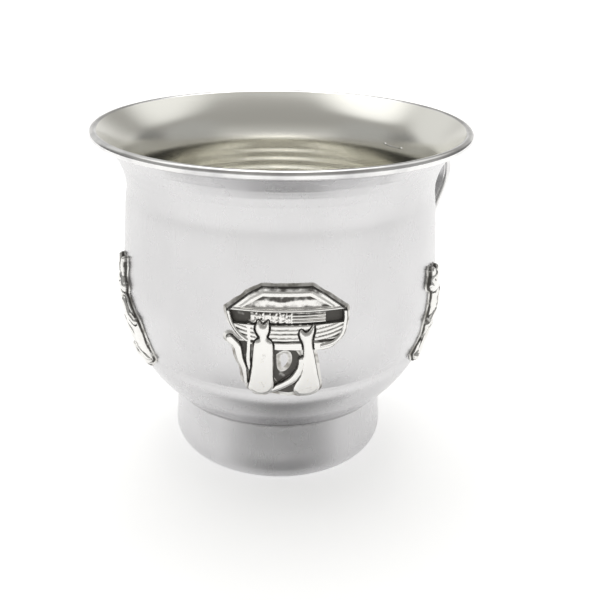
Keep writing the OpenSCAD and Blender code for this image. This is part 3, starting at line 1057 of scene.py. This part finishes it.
    def height(self, u: Array, v: Array, d: Array) -> Array:
        """The ledges, then the hull, cabin, roof, mouldings and cats, each raised above what is behind it."""
        ledge = self.ledges(u, v)
        h = np.where(ledge < 0.05, 0.24, self.edge + dome(d, 0.5, 0.12))
        hull = self.hull(u, v)
        planked = smooth_step(self.keel - 0.1, self.keel + 0.1, v) * (1 - smooth_step(self.deck - 0.15, self.deck, v))
        groove = np.exp(-(((v - self.keel - 0.12 * ripple(u, v, 4.0, 56)) / 0.2) ** 2))
        side = 0.9 + 0.26 * self.planks(u, v) * planked + 0.2 * (1 - planked) - 0.3 * groove
        side = np.where(v > self.deck, 0.3, side)
        h = np.where(hull < 0, np.minimum(side, self.edge + dome(hull, 0.5, 1.0)), h)
        cabin = Shape.outline(u, v, self.cabin)
        h = np.where(cabin < 0, np.minimum(self.siding(u, v), 0.55 + dome(cabin, 0.25, 0.8)), h)
        roof = Shape.outline(u, v, self.roof_edge)
        band = 1.14 + 0.16 * smooth_step(0.5, 1.1, -roof)
        h = np.where(roof < 0, np.minimum(band, 0.5 + dome(roof, 0.45, 0.95)), h)
        panel = Shape.outline(u, v, self.roof_panel)
        h = np.where(panel < 0, 1.3 - 0.16 * smooth_step(0.0, 0.35, -panel), h)
        eave = Shape.limb(u, v, [(-10.8, self.eave), (10.8, self.eave)], (0.3, 0.3))
        h = np.maximum(h, np.where(eave < 0, 1.1 + dome(eave, 0.28, 0.38), 0))
        for line in ([(-11.3, 46.9), (-10.6, 44.4), (-9.2, 42.4), (-7.6, 41.2)],
                     [(11.2, 46.8), (11.2, 44.5), (10.6, 42.2), (9.0, 40.5), (6.6, 39.9)]):
            stem = spline(line, 5)
            rail = Shape.limb(u, v, stem, np.linspace(0.55, 0.4, len(stem)))
            h = np.maximum(h, np.where(rail < 0, 0.9 + dome(rail, 0.4, 0.55), 0))
        ribbon = self.ribbon(u, v)
        h = np.where(ribbon < 0, np.maximum(h, 0.62 + dome(ribbon, 0.42, 0.6)), h)
        tail, cats = self.tail(u, v), self.cats(u, v)
        moat = np.minimum(cats, tail)
        h = np.where((moat > 0) & (moat < 0.22), np.minimum(h, 0.6 + 1.2 * np.clip(moat, 0, 1)), h)
        h = np.where(tail < 0, 0.62 + dome(tail, 0.9, 0.62), h)
        return np.where(cats < 0, np.maximum(0.66 + dome(cats, 1.0, 0.9), np.where(tail < 0, h, 0)), h)

    def marks(self, u: Array, v: Array, d: Array, h: Array) -> dict[str, Array]:
        """The patina of every casting, painted shade over the upper half of the roof panel, and darkening along the
        roof's top edge.
        """
        patina = super().marks(u, v, d, h)["patina"]
        panel, roof = Shape.outline(u, v, self.roof_panel), Shape.outline(u, v, self.roof_edge)
        # painted shade: the upper half of the roof panel is darkened
        upper = smooth_step(48.7, 49.5, v + 0.45 * ripple(u, v, 6.0, 54)) * smooth_step(-0.05, 0.2, -panel)
        # darker along the roof's top edge
        brink = smooth_step(-1.0, -0.5, roof) * smooth_step(48.0, 51.0, v) * (roof < 0)
        return {"patina": np.maximum.reduce([patina, 0.78 * upper, 0.6 * brink])}


@dataclass
class BearCasting(Casting):
    """The right ornament: a seated bear cub turned towards the front."""

    name: str = "bear_relief"
    stands_for: str = "bear"
    azimuth: float = 75.0
    wall: float = 0.68
    skirt: float = 0.3
    head: tuple[float, float] = (-6.9, 44.9)

    def body(self, u: Array, v: Array) -> Array:
        """The back and the belly."""
        back = spline([(-6.4, 43.0), (-3.0, 43.6), (1.5, 41.0), (4.6, 36.0), (5.8, 31.0), (4.0, 27.0), (0.0, 25.8)], 6)
        front = spline([(-4.0, 25.6), (-9.4, 26.5), (-9.2, 29.6), (-7.6, 32.0), (-8.6, 35.0), (-8.0, 39.0), (-7.6, 43.0)], 6)
        return Shape.outline(u, v, np.vstack([back, front]))

    def skull(self, u: Array, v: Array) -> Array:
        """A round head with a short snout and two round ears."""
        x, y = self.head
        ears = [Shape.disc(u, v, (x + dx, y + dy), 1.0) for dx, dy in ((-1.2, 2.5), (2.1, 1.9))]
        snout = Shape.limb(u, v, [(x, y), (x - 2.0, y - 0.6)], [1.6, 1.1])
        return Shape.join(Shape.disc(u, v, self.head, 2.6), snout, *ears, round_by=0.4)

    def outline(self, u: Array, v: Array) -> Array:
        """Body, head and the stub of the tail."""
        stub = Shape.limb(u, v, [(5.0, 29.0), (6.6, 27.4)], [1.0, 0.8])
        return Shape.join(self.body(u, v), self.skull(u, v), stub, round_by=0.6)

    def height(self, u: Array, v: Array, d: Array) -> Array:
        """A rounded body with fur grooves, then the arm, the thigh, the foot and the head over it."""
        fur = 0.05 * np.sin(2 * np.pi * (0.75 * u + 0.3 * v + 0.25 * np.sin(v)) / 0.9)
        h = self.edge + dome(d, 2.6, 0.78) + fur * smooth_step(0.3, 0.9, -d)
        limbs = (
            ([(-2.4, 40.6), (-4.4, 37.2), (-8.2, 36.0)], [1.25, 1.0, 0.75], 0.85),
            ([(1.4, 29.8), (-5.2, 33.2)], [2.3, 1.35], 0.8),
            ([(-5.6, 33.0), (-7.6, 28.2), (-8.6, 27.4)], [1.15, 0.95, 0.9], 0.88),
        )
        for points, radii, lift in limbs:
            limb = Shape.limb(u, v, points, radii)
            h = np.where((limb > 0) & (limb < 0.3), np.minimum(h, 0.75), h)
            h = np.where(limb < 0, np.maximum(lift + dome(limb, 1.0, 0.72), 0), h)
        skull = self.skull(u, v)
        h = np.where((skull > 0) & (skull < 0.3), np.minimum(h, 0.75), h)
        h = np.where(skull < 0, 0.6 + dome(skull, 1.9, 1.08), h)
        x, y = self.head
        for dx, dy, r in ((-1.3, 0.7, 0.28), (-2.9, -0.5, 0.3), (2.1, 1.9, 0.45), (-1.2, 2.5, 0.4)):
            pit = Shape.disc(u, v, (x + dx, y + dy), r)
            h -= 0.25 * np.exp(-((np.clip(pit + r, 0, None) / r) ** 2))
        return np.minimum(h + 0.16 * ripple(u, v, 3.4, 61), 1.68)


@dataclass
class RabbitCasting(Casting):
    """The left ornament: an upright rabbit turned towards the front."""

    name: str = "rabbit_relief"
    stands_for: str = "rabbit"
    azimuth: float = -75.0
    wall: float = 0.62
    skirt: float = 0.3
    head: tuple[float, float] = (1.2, 43.0)

    def body(self, u: Array, v: Array) -> Array:
        """The back, the haunch and the chest."""
        back = spline([(-1.6, 42.4), (-4.2, 38.0), (-5.4, 32.0), (-4.4, 27.8), (-1.0, 25.8)], 6)
        front = spline([(9.6, 26.0), (11.4, 28.2), (11.0, 31.0), (10.0, 36.2), (7.4, 38.4), (5.0, 40.4), (3.0, 42.6)], 6)
        return Shape.outline(u, v, np.vstack([back, front]))

    def skull(self, u: Array, v: Array) -> Array:
        """An oval head with a blunt nose."""
        x, y = self.head
        nose = Shape.limb(u, v, [(x, y), (x + 2.2, y - 0.7)], [1.9, 1.2])
        return Shape.join(Shape.disc(u, v, self.head, 2.3), nose, round_by=0.5)

    def ears(self, u: Array, v: Array) -> Array:
        """Two upright ears, narrow at the root and at the tip."""
        first = Shape.limb(u, v, [(0.2, 44.4), (-0.6, 46.4), (-0.9, 48.2)], [0.75, 0.95, 0.5])
        second = Shape.limb(u, v, [(2.2, 44.4), (2.4, 46.6), (2.6, 48.4)], [0.75, 0.95, 0.5])
        return np.minimum(first, second)

    def outline(self, u: Array, v: Array) -> Array:
        """Body, head and ears."""
        return Shape.join(self.body(u, v), self.skull(u, v), self.ears(u, v), round_by=0.3)

    def height(self, u: Array, v: Array, d: Array) -> Array:
        """A smooth body, then the haunch, the paws, the long foot, the head and the hollowed ears."""
        h = self.edge + dome(d, 2.8, 0.75)
        limbs = (
            ([(-0.4, 31.4), (4.8, 31.6)], [3.0, 2.1], 0.8),
            ([(3.6, 39.2), (6.4, 36.9), (8.8, 36.5)], [1.1, 0.95, 0.75], 0.88),
            ([(1.2, 27.5), (9.9, 27.7)], [1.0, 1.15], 0.85),
        )
        for points, radii, lift in limbs:
            limb = Shape.limb(u, v, points, radii)
            h = np.where((limb > 0) & (limb < 0.3), np.minimum(h, 0.75), h)
            h = np.where(limb < 0, lift + dome(limb, 1.2, 0.72), h)
        skull, ears = self.skull(u, v), self.ears(u, v)
        h = np.where((skull > 0) & (skull < 0.28), np.minimum(h, 0.75), h)
        h = np.where(ears < 0, 0.62 + dome(ears, 0.5, 0.7) - 0.35 * smooth_step(0.35, 0.7, -ears), h)
        h = np.where(skull < 0, 0.62 + dome(skull, 1.8, 1.05), h)
        eye = Shape.disc(u, v, (self.head[0] + 1.1, self.head[1] + 0.5), 0.3)
        h -= 0.25 * np.exp(-((np.clip(eye + 0.3, 0, None) / 0.3) ** 2))
        return np.minimum(h + 0.16 * ripple(u, v, 3.8, 62), 1.68)


# ---------------------------------------------------------------- the stage

class Panel(Enum):
    """A soft-edged part of the light tent: azimuth and elevation of its middle, and the radii of its core and of
    its faded edge, all in degrees, then its brightness."""

    LEFT = (-112.0, 60.0, 8.0, 27.0, 1.2)
    LEFT_LOW = (-147.0, 26.0, 10.0, 26.0, 0.72)
    RIGHT = (126.0, 52.0, 9.0, 28.0, 0.9)
    OVERHEAD = (180.0, 70.0, 12.0, 30.0, 2.4)
    LEFT_HAZE = (-74.0, 12.0, 10.0, 34.0, 0.38)
    RIGHT_HAZE = (74.0, 12.0, 10.0, 34.0, 0.38)
    LEFT_GAP = (-112.0, 0.0, 10.0, 28.0, 0.20)
    RIGHT_GAP = (118.0, 0.0, 12.0, 30.0, 0.18)

    def middle(self) -> tuple[float, float, float]:
        """The direction of the panel's middle."""
        azimuth, elevation = math.radians(self.value[0]), math.radians(self.value[1])
        flat = math.cos(elevation)
        return flat * math.sin(azimuth), -flat * math.cos(azimuth), math.sin(elevation)


@dataclass
class Studio:
    """The floor, a dark card of painted shadow, the light tent and the camera."""

    horizon: Colour = (0.80, 0.795, 0.78, 1)
    zenith: Colour = (0.34, 0.335, 0.32, 1)
    # where the painted-shadow card lies, and its half sizes
    card_place: tuple[float, float, float] = (1 * MM, -34 * MM, 0.3 * MM)
    card_size: tuple[float, float] = (42 * MM, 15 * MM)
    camera_reach: float = 168.2 * MM
    camera_height: float = 109.7 * MM
    camera_azimuth: float = -2.5
    pitch_down: float = 23.72
    roll: float = 0.70
    lens: float = 47.59
    shift: tuple[float, float] = (0.0252, -0.0162)

    def build_floor(self) -> None:
        """Makes the floor."""
        half = 3.0
        corners = np.array([[-half, -half, 0], [half, -half, 0], [half, half, 0], [-half, half, 0]])
        mesh = bpy.data.meshes.new("floor")
        mesh.from_pydata(corners.tolist(), [], [(0, 1, 2, 3)])
        floor = bpy.data.objects.new("floor", mesh)
        mesh.materials.append(PaleFloor().material())
        bpy.context.scene.collection.objects.link(floor)

    def build_painted_shadow_card(self) -> None:
        """Lays a dark card in front of the foot, out of the camera's sight, for the silver to mirror: a painted shadow
        of the cup on the floor.
        """
        side = np.linspace(-1, 1, 3)
        u, v = np.meshgrid(side, side)
        spots = np.column_stack([u.ravel() * self.card_size[0], v.ravel() * self.card_size[1], 0 * u.ravel()])
        mesh = bpy.data.meshes.new("card")
        mesh.from_pydata((spots + self.card_place).tolist(), [], grid_quads(3, 3, wrap_columns=False).tolist())
        mesh.materials.append(PaintedShadowCard(middle=self.card_place, half=self.card_size).material())
        card = bpy.data.objects.new("card", mesh)
        # the painted shadow is seen only in reflections
        card.visible_camera = card.visible_diffuse = card.visible_shadow = False
        bpy.context.scene.collection.objects.link(card)

    def build_world(self) -> None:
        """Makes the tent: white near the horizon, dimmer overhead, with a soft panel to each side."""
        world = bpy.data.worlds.new("tent")
        world.use_nodes = True
        tree = Tree(world.node_tree)
        way = tree.node("ShaderNodeTexCoord", {}, {})["Generated"]
        height = tree.node("ShaderNodeSeparateXYZ", {}, {"Vector": way})["Z"]
        sky = tree.mix(height.ramp(0.08, 0.42), self.horizon, self.zenith)
        for panel in Panel:
            core, edge, level = panel.value[2:]
            near = tree.node("ShaderNodeVectorMath", {"operation": "DOT_PRODUCT"}, {
                0: way, 1: panel.middle()})["Value"]
            lit = near.ramp(math.cos(math.radians(edge)), math.cos(math.radians(core)))
            sky = tree.mix(lit, sky, (level, level, 0.98 * level, 1))
        glow = tree.node("ShaderNodeBackground", {}, {"Color": sky, "Strength": 1.0})["Background"]
        tree.node("ShaderNodeOutputWorld", {}, {"Surface": glow})
        bpy.context.scene.world = world

    def build_camera(self) -> None:
        """Sets up the camera in front and a little above."""
        data = bpy.data.cameras.new("camera")
        data.lens, data.sensor_width, data.clip_start = self.lens, 36.0, 0.01
        data.shift_x, data.shift_y = self.shift
        camera = bpy.data.objects.new("camera", data)
        turned = math.radians(self.camera_azimuth)
        camera.location = (self.camera_reach * math.sin(turned), -self.camera_reach * math.cos(turned), self.camera_height)
        steps = ((self.camera_azimuth, "Z"), (90 - self.pitch_down, "X"), (self.roll, "Z"))
        heading, tilt, roll = (Matrix.Rotation(math.radians(angle), 3, axis) for angle, axis in steps)
        camera.rotation_euler = (heading @ tilt @ roll).to_euler("XYZ")
        bpy.context.scene.collection.objects.link(camera)
        bpy.context.scene.camera = camera

    def build(self) -> None:
        """Sets the whole stage."""
        bpy.context.scene.view_settings.view_transform = "Standard"
        self.build_floor()
        self.build_painted_shadow_card()
        self.build_world()
        self.build_camera()


def main() -> None:
    """Builds every piece of the cup, in the order that a silversmith joins them."""
    logging.basicConfig(level=logging.INFO, format="%(message)s")
    Studio().build()
    Bowl().build()
    RimWire().build()
    foot = Foot()
    foot.build_ring()
    foot.build_solder()
    Handle().build()
    for casting in (ArkCasting(), BearCasting(), RabbitCasting()):
        casting.build()


if __name__ == "__main__":
    main()
